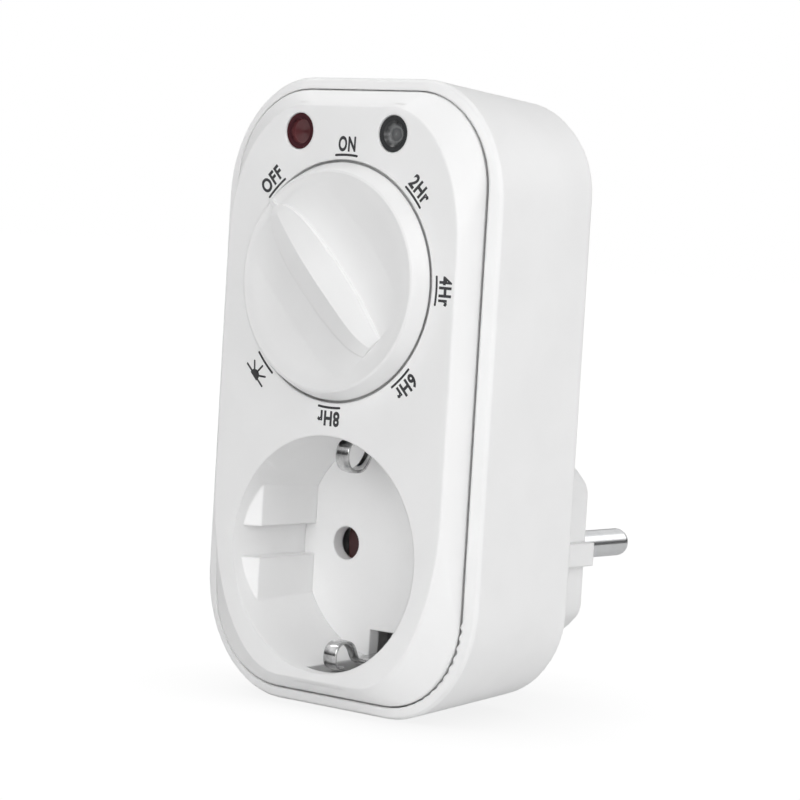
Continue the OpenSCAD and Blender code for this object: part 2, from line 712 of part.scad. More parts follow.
module contact_block() {
    through = block_back - block_front + 2 * cut;
    earth_room = plug_face - 16;
    color("#d6d2c4") difference() {
        block(block_front, block_back - block_front, -block_half_x, block_half_x, -block_half_z, block_half_z);
        for (s = [-1, 1]) rod(block_front - cut, through, contact_r + fixed_play, s * pin_x, 0);
        rod(block_front - cut, through, post_r + fixed_play, 0, 0);
        block(block_front - cut, strap_front + strip_t + 0.1 - block_front + cut,
              -clip_w / 2 - open_play, clip_w / 2 + open_play, -block_half_z - cut, block_half_z + cut);
        block(contact_front - open_play, strip_t + 2 * open_play, switched_x - bar_w / 2 - open_play,
              switched_x + bar_w / 2 + open_play, 0, block_half_z + cut);
        rod(earth_room, block_back - earth_room + cut, earth_hole_r + open_play, 0, earth_hole_up);
    }
}

// Flat copper bars between the pins, the contacts and the board; the two on the live side pass side by side
bar_w = 3;
bar_gap = 0.4;
bar_across = back_inner - 2.2;
bar_foot = board_low + 6.5;
live_x = pin_x - (bar_w + bar_gap) / 2;
switched_x = pin_x + (bar_w + bar_gap) / 2;
module mains_bar(x, high) {
    low = -2;
    mid = bar_depth + strip_t / 2;
    rise = block_half_z + 1.9;
    strip([[low, mid], [rise, mid], [rise, bar_across], [high, bar_across], [high, board_back]],
          bar_w, strip_t, x);
}
module live_input_bar() { color("#c98a50") mains_bar(live_x, bar_foot); }
module neutral_bar() { color("#c98a50") mains_bar(-pin_x, bar_foot - 3); }
module switched_live_bar() {
    mid = contact_front + strip_t / 2;
    high = bar_foot - 3.5;
    low = sqrt(pow(contact_r, 2) - pow(bar_gap / 2, 2)) + fixed_play;
    color("#c98a50") strip([[low, mid], [high, mid], [high, board_back]], bar_w, strip_t, switched_x);
}

// Earth clip: a spring strip that comes up through the floor and bows in towards the axis
bow_start = 4.2;
bow_end = 10.4;
foot_up = recess_r - 1;
module socket_earth_strap() {
    bow = [for (i = [0:10]) let (a = 180 * i / 10)
           [foot_up - (foot_up - clip_crown - strip_t / 2) * sin(a),
            (bow_start + bow_end) / 2 + (bow_end - bow_start) / 2 * cos(a)]];
    mid = strap_front + strip_t / 2;
    color("#cfd2d4") difference() {
        union() for (up = [0, 1]) mirror([0, 0, up])
            strip(concat([[-0.01, mid], [foot_up - 1.8, mid], [foot_up - 1, strap_front - 0.4],
                          [foot_up - 0.6, strap_front - 1.4], [foot_up, bow_end + 1.6]], bow,
                         [[foot_up + 1.2, bow_start - 0.8]]), clip_w, strip_t);
        rod(strap_front - cut, strip_t + 2 * cut, rivet_r + fixed_play, 0, 0);
    }
}

// Earth strap of the plug, with a sprung side contact above and below
plug_clip_w = 6;
plug_clip_mid = plug_strap_depth - 5;
plug_clip_half = 4.6;
plug_clip_foot = 14.2;
module plug_earth_strap() {
    mid = plug_strap_depth + strip_t / 2;
    crown = boss_r - strip_t / 2;
    bow = [for (i = [0:8]) let (a = 180 * i / 8)
           [plug_clip_foot + (crown - plug_clip_foot) * sin(a), plug_clip_mid + plug_clip_half * cos(a)]];
    eye_r = earth_hole_r + 2;
    color("#cfd2d4") difference() {
        union() {
            for (up = [0, 1]) mirror([0, 0, up])
                strip(concat([[-0.01, mid], [plug_clip_foot - 1, mid], [plug_clip_foot - 0.2, mid - 0.6]], bow,
                             [[plug_clip_foot - 0.2, plug_clip_mid - plug_clip_half - 1.4]]),
                      plug_clip_w, strip_t);
            rod(plug_strap_depth, strip_t, eye_r, 0, earth_hole_up);
        }
        rod(plug_strap_depth - cut, strip_t + 2 * cut, earth_hole_r, 0, earth_hole_up);
        rod(plug_strap_depth - cut, strip_t + 2 * cut, rivet_r + fixed_play, 0, 0);
    }
}

// Post that carries the earth path through the contact block, riveted into a strap at each end
post_r = 2;
rivet_r = 1.2;
module earth_post() {
    rivet_out = 0.5;
    color("#d0a850") turned([[0, strap_front - rivet_out], [rivet_r, strap_front - rivet_out],
                             [rivet_r, strap_front + strip_t], [post_r, strap_front + strip_t],
                             [post_r, plug_strap_depth], [rivet_r, plug_strap_depth],
                             [rivet_r, plug_strap_depth + strip_t + rivet_out],
                             [0, plug_strap_depth + strip_t + rivet_out]]);
}

module plug_earth_tube() {
    start = plug_strap_depth + strip_t;
    tube_wall = 0.8;
    color("#d0a850") difference() {
        rod(start, plug_face - end_wall - start, earth_hole_r + tube_wall, 0, earth_hole_up);
        rod(start - cut, plug_face - end_wall - start + 2 * cut, earth_hole_r, 0, earth_hole_up);
    }
}

module shutter() {
    wing_out = 11.2;
    hub_r = 3.7;
    color("#b3202a") difference() {
        union() {
            plate(shutter_front, shutter_t) intersection() {
                circle(wing_out);
                union() {
                    translate([-wing_out, -1.6]) square([2 * wing_out, 3.2]);
                    for (s = [-1, 1]) translate([s * pin_x, 0]) circle(3.4);
                }
            }
            rod(shutter_front, shutter_t + 0.3, hub_r);
        }
        rod(shutter_front - cut, 4, shutter_post_r + shaft_play);
    }
}

module shutter_spring() {
    wire = 0.2;
    turn_r = 4.4;
    color("#b8bcc0") translate([0, face_y + shutter_front + shutter_t + wire + 0.1, 0]) rotate([-90, 0, 0])
        rotate_extrude() translate([turn_r, 0]) circle(wire, $fn = 16);
}

// Pan-head screw with a cross recess, driven from the back
module screw(p, head_depth, length, r, head) {
    head_t = 1.8;
    slot_deep = 0.8;
    slot_half = 0.35;
    reach = head * 0.7;
    top = head_depth + head_t;
    difference() {
        union() {
            rod(head_depth, head_t, head, p[0], p[1]);
            rod(head_depth - length, length, r, p[0], p[1]);
        }
        block(top - slot_deep, slot_deep + cut, p[0] - reach, p[0] + reach, p[1] - slot_half, p[1] + slot_half);
        block(top - slot_deep, slot_deep + cut, p[0] - slot_half, p[0] + slot_half, p[1] - reach, p[1] + reach);
    }
}

case_screw_len = 13;
module case_screws() {
    color("#a8acb0") for (p = case_screw_places) screw(p, head_seat, case_screw_len, screw_r, head_r);
}

board_screw_len = 6;
module board_screws() {
    color("#a8acb0") for (p = board_screw_places) screw(p, board_back, board_screw_len, board_screw_r, 2);
}

front_cover();
rear_housing();
knob();
dial_shaft();
shaft_ring();
switch_body();
switch_rotor();
detent_spring();
indicator_lens();
indicator_led();
sensor_lens();
sensor_cell();
circuit_board();
relay();
mains_capacitor();
reservoir_capacitor();
varistor();
fuse();
rectifier_diodes();
dropper_resistor();
controller_chip();
live_pin();
neutral_pin();
live_contact();
neutral_contact();
contact_block();
live_input_bar();
switched_live_bar();
neutral_bar();
socket_earth_strap();
plug_earth_strap();
earth_post();
plug_earth_tube();
shutter();
shutter_spring();
case_screws();
board_screws();
socket_floor();
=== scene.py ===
"""Looks of a plug-in timer switch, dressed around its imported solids.

+X is to the right of the front panel, +Y runs from the panel to the plug pins and +Z is up.
Lengths are in metres; MM turns millimetres into them.
"""

import json
import math
from contextlib import contextmanager

import bpy
from mathutils import Matrix, Vector


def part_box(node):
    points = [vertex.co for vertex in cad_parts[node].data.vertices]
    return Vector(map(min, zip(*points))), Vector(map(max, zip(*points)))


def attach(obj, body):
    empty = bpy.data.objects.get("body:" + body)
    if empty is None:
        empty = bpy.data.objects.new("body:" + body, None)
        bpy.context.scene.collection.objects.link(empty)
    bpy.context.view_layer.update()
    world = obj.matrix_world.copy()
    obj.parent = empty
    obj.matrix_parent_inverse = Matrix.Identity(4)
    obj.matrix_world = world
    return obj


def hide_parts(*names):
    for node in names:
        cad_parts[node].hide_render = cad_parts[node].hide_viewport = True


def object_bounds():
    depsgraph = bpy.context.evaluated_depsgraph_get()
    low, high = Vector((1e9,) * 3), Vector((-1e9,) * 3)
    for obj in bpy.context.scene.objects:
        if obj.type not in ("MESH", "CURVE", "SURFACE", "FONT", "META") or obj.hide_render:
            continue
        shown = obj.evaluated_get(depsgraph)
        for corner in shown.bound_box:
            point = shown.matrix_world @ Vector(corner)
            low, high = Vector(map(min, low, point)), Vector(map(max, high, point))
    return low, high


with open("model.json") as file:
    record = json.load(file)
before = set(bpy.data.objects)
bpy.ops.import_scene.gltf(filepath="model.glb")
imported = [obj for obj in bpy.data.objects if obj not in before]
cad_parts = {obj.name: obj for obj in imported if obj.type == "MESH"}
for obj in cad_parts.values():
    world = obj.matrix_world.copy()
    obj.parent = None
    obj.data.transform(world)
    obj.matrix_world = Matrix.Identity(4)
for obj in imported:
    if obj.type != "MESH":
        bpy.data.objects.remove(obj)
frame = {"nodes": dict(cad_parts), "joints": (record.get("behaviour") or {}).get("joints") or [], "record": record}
cad_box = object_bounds()

MM = 0.001
NODES = frame["nodes"]
JOINTS = {joint["name"]: joint for joint in frame["joints"]}
SLOT_OF = {part["node"]: part["material_slot"] for part in frame["record"]["subparts"]}
PANEL_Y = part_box("front_cover")[0].y
DIAL = Vector(JOINTS["dial_turn"]["pos_m"])
LEFT_LENS = (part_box("indicator_lens")[0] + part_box("indicator_lens")[1]) / 2
RIGHT_LENS = (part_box("sensor_lens")[0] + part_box("sensor_lens")[1]) / 2


# ---------------------------------------------------------------- colours and nodes


def srgb(code):
    """A hex colour as linear red, green, blue and alpha."""
    parts = [int(code[i : i + 2], 16) / 255 for i in (1, 3, 5)]
    return [p / 12.92 if p <= 0.04045 else ((p + 0.055) / 1.055) ** 2.4 for p in parts] + [1.0]


def add_node(tree, kind, settings=(), stops=(), **sockets):
    """Adds a node. A socket is given by its name with _ for spaces, or as _ and its number, and takes a
    value or another node's output. The stops of a colour ramp are positions with hex colours."""
    node = tree.nodes.new("ShaderNode" + kind)
    for name, value in dict(settings).items():
        setattr(node, name, value)
    for i, (position, colour) in enumerate(stops):
        ramp = node.color_ramp.elements
        stop = ramp[i] if i < len(ramp) else ramp.new(position)
        stop.position = position
        stop.color = srgb(colour)
    for name, value in sockets.items():
        found = [s for s in node.inputs if s.name.replace(" ", "_") == name and s.enabled]
        socket = found[0] if found else node.inputs[int(name[1:])]
        if isinstance(value, bpy.types.NodeSocket):
            tree.links.new(value, socket)
        else:
            socket.default_value = value
    return node


def new_material(name):
    """An empty node material and its tree."""
    material = bpy.data.materials.new(name)
    material.use_nodes = True
    material.node_tree.nodes.clear()
    return material, material.node_tree


# ---------------------------------------------------------------- moulded plastics

FLOW_MM = 14  # the melt's slow flow marks
SPECK_MM = 2.2  # patches where handling has left the gloss uneven
EDGE_GLOSS = 0.06  # how much smoother handling has made the edges
MILK_DEPTH = 1.2 * MM  # how far light goes into a plastic without pigment


def moulded_plastic(name, light, dark, rough, grain_mm, grain_depth, edge_mm, ior=1.5, subsurface=0.0):
    """Injection-moulded plastic: a spark-eroded grain, slow flow marks, soft edges that handling has
    polished. The grain's size and depth and the radius of the edges are in millimetres."""
    material, tree = new_material(name)
    place = add_node(tree, "TexCoord").outputs["Object"]
    flow = add_node(tree, "TexNoise", Vector=place, Scale=1 / (FLOW_MM * MM), Detail=2.0, Roughness=0.5)
    tone = add_node(tree, "ValToRGB", stops=[(0.3, dark), (0.62, light)], Fac=flow.outputs["Fac"])
    # Wear: the angle between the true face and the rounded edge marks the edges, a little glossier
    rounded = add_node(tree, "Bevel", {"samples": 6}, Radius=edge_mm * MM).outputs["Normal"]
    flat = add_node(tree, "NewGeometry").outputs["Normal"]
    turn = add_node(tree, "VectorMath", {"operation": "DOT_PRODUCT"}, _0=rounded, _1=flat)
    rubbed = add_node(tree, "MapRange", Value=turn.outputs["Value"], From_Min=0.8, From_Max=1.0,
                      To_Min=EDGE_GLOSS, To_Max=0.0)
    specks = add_node(tree, "TexNoise", Vector=place, Scale=1 / (SPECK_MM * MM), Detail=4.0, Roughness=0.7)
    uneven = add_node(tree, "MapRange", Value=specks.outputs["Fac"], To_Min=rough - 0.05, To_Max=rough + 0.07)
    roughness = add_node(tree, "Math", {"operation": "SUBTRACT"}, _0=uneven.outputs[0], _1=rubbed.outputs[0])
    grain = add_node(tree, "TexNoise", Vector=place, Scale=1 / (grain_mm * MM), Detail=2.0, Roughness=0.6)
    skin = add_node(tree, "Bump", Height=grain.outputs["Fac"], Strength=1.0, Distance=grain_depth * MM,
                    Normal=rounded)
    shader = add_node(tree, "BsdfPrincipled", Base_Color=tone.outputs["Color"], IOR=ior,
                      Roughness=roughness.outputs[0], Normal=skin.outputs["Normal"],
                      Subsurface_Weight=subsurface, Subsurface_Scale=MILK_DEPTH,
                      Subsurface_Radius=(1.0, 0.9, 0.7))
    add_node(tree, "OutputMaterial", Surface=shader.outputs["BSDF"])
    return material


# ---------------------------------------------------------------- metals

STAIN_MM = 3.5
RUN_MM = 50 / 3  # how far a line runs before its shade changes
SOFT_EDGE = 0.12 * MM
# Which axes the fine lines lie across; they run along the others
ACROSS_X = (True, False, False)
ACROSS_Y = (False, True, False)
ALONG_Y = (True, False, True)


def worked_metal(name, light, dark, rough, lines, line_mm, line_depth):
    """Rolled, drawn or turned metal: fine lines across the axes given, faint stains and softened edges.
    The lines' spacing and depth are in millimetres."""
    material, tree = new_material(name)
    place = add_node(tree, "TexCoord").outputs["Object"]
    stretch = add_node(tree, "Mapping", Vector=place,
                       Scale=[1 / ((line_mm if across else RUN_MM) * MM) for across in lines])
    marks = add_node(tree, "TexNoise", Vector=stretch.outputs["Vector"], Scale=1.0, Detail=3.0,
                     Roughness=0.65).outputs["Fac"]
    stain = add_node(tree, "TexNoise", Vector=place, Scale=1 / (STAIN_MM * MM), Detail=5.0, Roughness=0.6)
    tone = add_node(tree, "ValToRGB", stops=[(0.34, dark), (0.6, light)], Fac=stain.outputs["Fac"])
    rounded = add_node(tree, "Bevel", {"samples": 4}, Radius=SOFT_EDGE)
    skin = add_node(tree, "Bump", Height=marks, Strength=1.0, Distance=line_depth * MM,
                    Normal=rounded.outputs["Normal"])
    roughness = add_node(tree, "MapRange", Value=marks, To_Min=rough - 0.05, To_Max=rough + 0.1)
    shader = add_node(tree, "BsdfPrincipled", Base_Color=tone.outputs["Color"], Metallic=1.0,
                      Roughness=roughness.outputs[0], Normal=skin.outputs["Normal"])
    add_node(tree, "OutputMaterial", Surface=shader.outputs["BSDF"])
    return material


# ---------------------------------------------------------------- lenses, cell and board

LENS_R = 3 * MM
SWIRL_MM = 0.9
RIPPLE_MM = 0.6
TRACK_MM = 5.2  # the light cell's track folds about three times in this length
GRIT_MM = 0.2
COPPER_MM = 9  # the board's copper lines part this length in two across and in four up
WEAVE_MM = 0.5


def lens_resin(name, centre, stops, rough, swirl):
    """Cast or moulded lens: colour by distance from its own centre, with the resin's faint swirl under a
    gloss skin. The stops run from the centre (0) to the rim (1)."""
    material, tree = new_material(name)
    place = add_node(tree, "TexCoord").outputs["Object"]
    local = add_node(tree, "Mapping", Vector=place, Location=[-c for c in centre])
    flat = add_node(tree, "VectorMath", {"operation": "MULTIPLY"}, _0=local.outputs["Vector"],
                    _1=(1.0, 0.0, 1.0))
    reach = add_node(tree, "VectorMath", {"operation": "LENGTH"}, _0=flat.outputs["Vector"])
    radius = add_node(tree, "MapRange", Value=reach.outputs["Value"], From_Min=0.0, From_Max=LENS_R)
    wobble = add_node(tree, "TexNoise", Vector=place, Scale=1 / (SWIRL_MM * MM), Detail=2.0, Roughness=0.5)
    swirled = add_node(tree, "Math", {"operation": "MULTIPLY_ADD"}, _0=wobble.outputs["Fac"], _1=swirl,
                       _2=radius.outputs[0])
    tone = add_node(tree, "ValToRGB", stops=stops, Fac=swirled.outputs[0])
    ripple = add_node(tree, "TexNoise", Vector=place, Scale=1 / (RIPPLE_MM * MM), Detail=1.0).outputs["Fac"]
    skin = add_node(tree, "Bump", Height=ripple, Strength=1.0, Distance=0.01 * MM)
    roughness = add_node(tree, "MapRange", Value=ripple, To_Min=rough - 0.03, To_Max=rough + 0.05)
    shader = add_node(tree, "BsdfPrincipled", Base_Color=tone.outputs["Color"], IOR=1.46, Coat_Weight=0.12,
                      Coat_Roughness=0.04, Roughness=roughness.outputs[0], Normal=skin.outputs["Normal"])
    add_node(tree, "OutputMaterial", Surface=shader.outputs["BSDF"])
    return material


def light_cell_ceramic():
    """Cadmium sulphide cell: a sintered track that folds back and forth over a pale ceramic disc."""
    material, tree = new_material("sintered cell ceramic")
    place = add_node(tree, "TexCoord").outputs["Object"]
    track = add_node(tree, "TexWave", {"bands_direction": "X"}, Vector=place, Scale=1 / (TRACK_MM * MM),
                     Distortion=1.2, Detail=1.0)
    tone = add_node(tree, "ValToRGB", stops=[(0.45, "#E0CBB0"), (0.55, "#A8552E")], Fac=track.outputs["Fac"])
    grit = add_node(tree, "TexNoise", Vector=place, Scale=1 / (GRIT_MM * MM), Detail=3.0).outputs["Fac"]
    skin = add_node(tree, "Bump", Height=grit, Strength=1.0, Distance=0.02 * MM)
    roughness = add_node(tree, "MapRange", Value=grit, To_Min=0.6, To_Max=0.8)
    shader = add_node(tree, "BsdfPrincipled", Base_Color=tone.outputs["Color"], IOR=1.6,
                      Roughness=roughness.outputs[0], Normal=skin.outputs["Normal"])
    add_node(tree, "OutputMaterial", Surface=shader.outputs["BSDF"])
    return material


def laminate_board():
    """Glass-epoxy laminate under green solder resist: the weave shows faintly, the copper as paler lines."""
    material, tree = new_material("glass epoxy laminate")
    place = add_node(tree, "TexCoord").outputs["Object"]
    upright = add_node(tree, "Mapping", Vector=place, Rotation=(math.radians(90), 0, 0))
    copper = add_node(tree, "TexBrick", {"offset": 0.35}, Vector=upright.outputs["Vector"],
                      Scale=1 / (COPPER_MM * MM), Color1=srgb("#2A6B3A"), Color2=srgb("#24602F"),
                      Mortar=srgb("#3F8A4E"), Mortar_Size=0.045)
    weave = add_node(tree, "TexChecker", Vector=place, Scale=1 / (WEAVE_MM * MM)).outputs["Fac"]
    skin = add_node(tree, "Bump", Height=weave, Strength=0.4, Distance=0.01 * MM)
    roughness = add_node(tree, "MapRange", Value=weave, To_Min=0.3, To_Max=0.36)
    shader = add_node(tree, "BsdfPrincipled", Base_Color=copper.outputs["Color"], IOR=1.55, Coat_Weight=0.5,
                      Coat_Roughness=0.15, Roughness=roughness.outputs[0], Normal=skin.outputs["Normal"])
    add_node(tree, "OutputMaterial", Surface=shader.outputs["BSDF"])
    return material


# ABS of the shell: spark-eroded mould, satin. The real grain is about 0.1 mm, drawn at 0.3 so that it shows
shell_abs = moulded_plastic("satin white ABS", "#F8F8F8", "#F5F5F5", 0.42, 0.3, 0.004, 0.5)
# ABS of the knob: a smoother mould than the shell's, so its highlights are a little tighter
knob_abs = moulded_plastic("smooth white ABS", "#F3F3F3", "#F0F0F0", 0.38, 0.3, 0.002, 0.2)
# Polyamide without pigment: milky, because a little light goes into it
nylon = moulded_plastic("natural nylon", "#E6E0CC", "#DCD4BC", 0.4, 0.25, 0.004, 0.15, subsurface=0.3)
# Filled plastics and thermosets of the inner parts: plain strong colours under a moulded skin
switch_pbt = moulded_plastic("blue PBT", "#3B5C96", "#33528A", 0.35, 0.2, 0.006, 0.2)
capacitor_epoxy = moulded_plastic("yellow film capacitor case", "#D2AC38", "#C49E2E", 0.3, 0.25, 0.006, 0.3)
black_pbt = moulded_plastic("black glass-filled PBT", "#17171A", "#101012", 0.5, 0.18, 0.01, 0.2)
fuse_resin = moulded_plastic("brown phenolic", "#6A4028", "#5A341F", 0.4, 0.25, 0.008, 0.2)
# Moulded red, its colour darkened far below the real red as painted shade for the pin holes: hardly more than a
# dark glint of red shows there
shutter_pc_painted_shade = moulded_plastic("red polycarbonate", "#3A0307", "#300205", 0.34, 0.3, 0.003, 0.2, ior=1.58)

# Turned and then plated: fine rings across the pins' axis
nickel = worked_metal("nickel-plated brass", "#E6E7E8", "#DDDEE0", 0.17, ACROSS_Y, 0.12, 0.0012)
# Rolled strip: the lines run along it. The socket clips are bright and stained by use; the stains' deep end also
# stands in for the dark bands the strip mirrors, as painted reflection
clip_steel_stains_and_painted_reflection = worked_metal("bright rolled spring strip", "#E2E2E2", "#7E7E80", 0.12, ACROSS_X, 0.15, 0.003)
# The same strip under a satin plating, which blurs what it mirrors
satin_strip = worked_metal("satin nickel-plated strip", "#C9CACB", "#A9AAAC", 0.42, ACROSS_X, 0.15, 0.003)
# Bars stamped from rolled sheet: warm, with fine lines one way
brass = worked_metal("rolled brass", "#D8B46C", "#C19A50", 0.26, ACROSS_X, 0.1, 0.002)
# Drawn spring wire and strip: grey, with the finest lines
spring_steel = worked_metal("spring steel", "#B9BBBD", "#A4A6A9", 0.2, ACROSS_Y, 0.08, 0.0015)
# Screws of drawn wire under a zinc skin, which is duller and a little blue: the lines run along the wire
zinc_steel = worked_metal("zinc-plated steel", "#B4B8BC", "#9DA3A9", 0.34, ALONG_Y, 0.15, 0.003)

# Tinted right through. The lighter band near its rim is a painted highlight, and the darker ring where it meets
# its hole is painted shade
red_lens = lens_resin("red tinted polycarbonate", LEFT_LENS,
                      [(0.0, "#53292C"), (0.6, "#5C2E31"), (0.68, "#6A3A3C"), (0.74, "#3C1A20"),
                       (0.97, "#4A2328")], 0.22, 0.08)
# Cast round the light cell, which shows as a pale spot and ring in the smoky resin; its dark outer ring is painted
# shade where the lens meets its hole
clear_lens = lens_resin("smoke clear epoxy", RIGHT_LENS,
                        [(0.0, "#A2A2A3"), (0.22, "#717273"), (0.45, "#5C5D5E"), (0.55, "#7E7F80"),
                         (0.66, "#565758"), (0.76, "#2A2B2C"), (0.97, "#3A3B3C")], 0.2, 0.3)
cell_ceramic = light_cell_ceramic()
board_laminate = laminate_board()
# Screen ink of the dial's scale: matt, slightly open at the mesh's pitch
ink = moulded_plastic("dark grey screen ink", "#3A3A3C", "#303032", 0.6, 0.12, 0.006, 0.05)

FINISHES = {
    "white_shell": shell_abs, "white_knob": knob_abs, "natural_nylon": nylon, "spring_steel": spring_steel,
    "blue_moulding": switch_pbt, "red_lens": red_lens, "clear_lens": clear_lens,
    "sensor_ceramic": cell_ceramic, "green_board": board_laminate, "yellow_moulding": capacitor_epoxy,
    "black_moulding": black_pbt, "brown_moulding": fuse_resin, "nickel": nickel, "brass": brass,
    "red_shutter": shutter_pc_painted_shade, "zinc_steel": zinc_steel,
}


def dress(obj, material):
    """Gives an object one material."""
    obj.data.materials.clear()
    obj.data.materials.append(material)


for node_name, solid in NODES.items():
    dress(solid, FINISHES[SLOT_OF[node_name]])


# ---------------------------------------------------------------- tools for the pieces

WELD = 0.008 * MM  # points of a skin that are closer than this become one


def spot(across, depth, up):
    """A place given as millimetres across, behind the panel's face and up."""
    return Vector((across * MM, PANEL_Y + depth * MM, up * MM))


def behind_panel(point):
    """How far a point of a mesh lies behind the panel's face."""
    return point.co.y - PANEL_Y


def extent(obj):
    """The lowest and the highest corner of the box round a mesh."""
    places = [v.co for v in obj.data.vertices]
    low = Vector([min(p[axis] for p in places) for axis in range(3)])
    high = Vector([max(p[axis] for p in places) for axis in range(3)])
    return low, high


def pick_only(obj):
    """Leaves only this object selected and active."""
    bpy.ops.object.select_all(action="DESELECT")
    obj.select_set(True)
    bpy.context.view_layer.objects.active = obj


@contextmanager
def editing(obj):
    """Edit mode on this object alone, with all of its mesh selected."""
    pick_only(obj)
    bpy.ops.object.mode_set(mode="EDIT")
    bpy.ops.mesh.select_all(action="SELECT")
    yield
    bpy.ops.object.mode_set(mode="OBJECT")


def worked(obj, kind, **settings):
    """Puts a modifier with its settings on an object and applies it."""
    modifier = obj.modifiers.new(kind.lower(), kind)
    for name, value in settings.items():
        setattr(modifier, name, value)
    pick_only(obj)
    bpy.ops.object.modifier_apply(modifier=modifier.name)


def faced_outward(obj):
    """Turns the faces of a mesh to one side, which is outward on a closed one."""
    with editing(obj):
        bpy.ops.mesh.normals_make_consistent(inside=False)


def edge_between(start, end):
    """A plane cut down to one of its edges, from start to end, ready to be drawn out."""
    bpy.ops.object.select_all(action="DESELECT")
    bpy.ops.mesh.primitive_plane_add(size=1, location=(0, 0, 0))
    edge = bpy.context.object
    bpy.ops.object.mode_set(mode="EDIT")
    bpy.ops.mesh.select_all(action="DESELECT")
    bpy.ops.object.mode_set(mode="OBJECT")
    for corner in edge.data.vertices:
        corner.select = corner.co.x > 0
    bpy.ops.object.mode_set(mode="EDIT")
    bpy.ops.mesh.select_mode(type="VERT")
    bpy.ops.mesh.delete(type="VERT")
    bpy.ops.object.mode_set(mode="OBJECT")
    for corner, place in zip(sorted(edge.data.vertices, key=lambda v: v.co.y), (start, end)):
        corner.co = place
    return edge


def smooth_shell(node, body, name, angle, shape=None):
    """A node's own shape with its skin welded and shaded round, in place of the faceted solid. A function
    given as shape reworks the welded skin first."""
    shell = bpy.data.objects.new(name, NODES[node].data.copy())
    bpy.context.scene.collection.objects.link(shell)
    pick_only(shell)
    bpy.ops.mesh.customdata_custom_splitnormals_clear()
    with editing(shell):
        bpy.ops.mesh.remove_doubles(threshold=WELD)
    if shape:
        shape(shell)
        pick_only(shell)
    bpy.ops.object.shade_smooth_by_angle(angle=math.radians(angle))
    worked(shell, "WEIGHTED_NORMAL", keep_sharp=True, weight=60)
    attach(shell, body)
    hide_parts(node)
    return shell


# ---------------------------------------------------------------- cover, housing and knob

# A clip's slot widens outwards. In millimetres: half its width, its start and end behind the panel, and
# how far from the axis
SLOT_INSIDE = (3.2, 2.0, 17.2, 18.9)
SLOT_OUTSIDE = (5.4, 1.2, 17.3, 21.3)
COVER_SIDE = 3.7 * MM  # behind the panel: from here on the cover's side faces the rim
COVER_FOOT = 8 * MM  # behind the panel: from here on the right side is drawn in, by up to FOOT_IN
FOOT_IN = 1.5 * MM
OUTLINE = 0.72  # more than this, as across**4 + up**4 in shares of half the size, is the cover's side
RIM_DEPTH = 4.1 * MM  # behind the panel: the edge of the rim that is eased lies before this
RIM_REACH = 0.6 * MM  # and this near the cover's side
RIM_EASE = 0.42 * MM
HALF_WIDTH = cad_box[1].x
SKIRT_DEPTH = 1 * MM  # behind the panel: what lies further back and further out is the knob's foot
SKIRT_R = 17 * MM
SKIRT_IN = 2 * MM


def slot_cut(cover, side):
    """Cuts the slot that an earth clip stands in, above (1) or below (-1) the axis: thin at its edges and
    open into the dark inside of the case."""
    bpy.ops.object.select_all(action="DESELECT")
    bpy.ops.mesh.primitive_cube_add(size=2, location=(0, 0, 0))
    tool = bpy.context.object
    for corner in tool.data.vertices:
        half, start, end, up = SLOT_OUTSIDE if corner.co.z > 0 else SLOT_INSIDE
        corner.co = spot(math.copysign(half, corner.co.x), end if corner.co.y > 0 else start, side * up)
    faced_outward(tool)
    worked(cover, "BOOLEAN", operation="DIFFERENCE", solver="EXACT", object=tool)
    bpy.data.objects.remove(tool)


def cover_worked(cover):
    """Cuts the clips' slots and shapes the cover's edge, so that its seam is finest above and on the left
    and widest on the right."""
    for side in (-1, 1):
        slot_cut(cover, side)
    low, high = extent(cover)
    middle, half = (low + high) / 2, (high - low) / 2
    for point in cover.data.vertices:
        across, up = (point.co.x - middle.x) / half.x, (point.co.z - middle.z) / half.z
        if across**4 + up**4 <= OUTLINE:
            continue
        if behind_panel(point) > COVER_SIDE:
            point.co.x -= (0.1 - 0.1 * across) * MM
            point.co.z += (0.05 + 0.19 * up) * MM
        # Further back the right side runs inwards, so that nothing but the dark shows in the seam
        if behind_panel(point) > COVER_FOOT and across > 0:
            point.co.x -= FOOT_IN * across**2
    cover.data.update()


def rim_eased(housing):
    """Eases the inner edge of the rim outwards on its right, where the seam round the cover is widest."""
    solid_cover = NODES["front_cover"].data
    seam = [Vector((v.co.x, 0, v.co.z)) for v in solid_cover.vertices if behind_panel(v) > COVER_SIDE]
    for point in housing.data.vertices:
        if point.co.x <= 0 or behind_panel(point) >= RIM_DEPTH:
            continue
        flat = Vector((point.co.x, 0, point.co.z))
        if min((place - flat).length for place in seam) < RIM_REACH:
            point.co.x += RIM_EASE * (point.co.x / HALF_WIDTH) ** 2
    housing.data.update()


def skirt_undercut(knob):
    """Draws the knob's foot in below the panel, so that its seam shows only the dark under the skirt."""
    for point in knob.data.vertices:
        spoke = Vector((point.co.x - DIAL.x, 0, point.co.z - DIAL.z))
        if behind_panel(point) > SKIRT_DEPTH and spoke.length > SKIRT_R:
            point.co -= spoke.normalized() * SKIRT_IN
    knob.data.update()


smooth_shell("front_cover", "case", "panel_skin", 28, cover_worked)
smooth_shell("rear_housing", "case", "housing_skin", 28, rim_eased)
smooth_shell("knob", "dial", "knob_skin", 20, skirt_undercut)
smooth_shell("indicator_lens", "case", "red_lens_skin", 25)
smooth_shell("sensor_lens", "case", "clear_lens_skin", 25)


# ---------------------------------------------------------------- earth clips

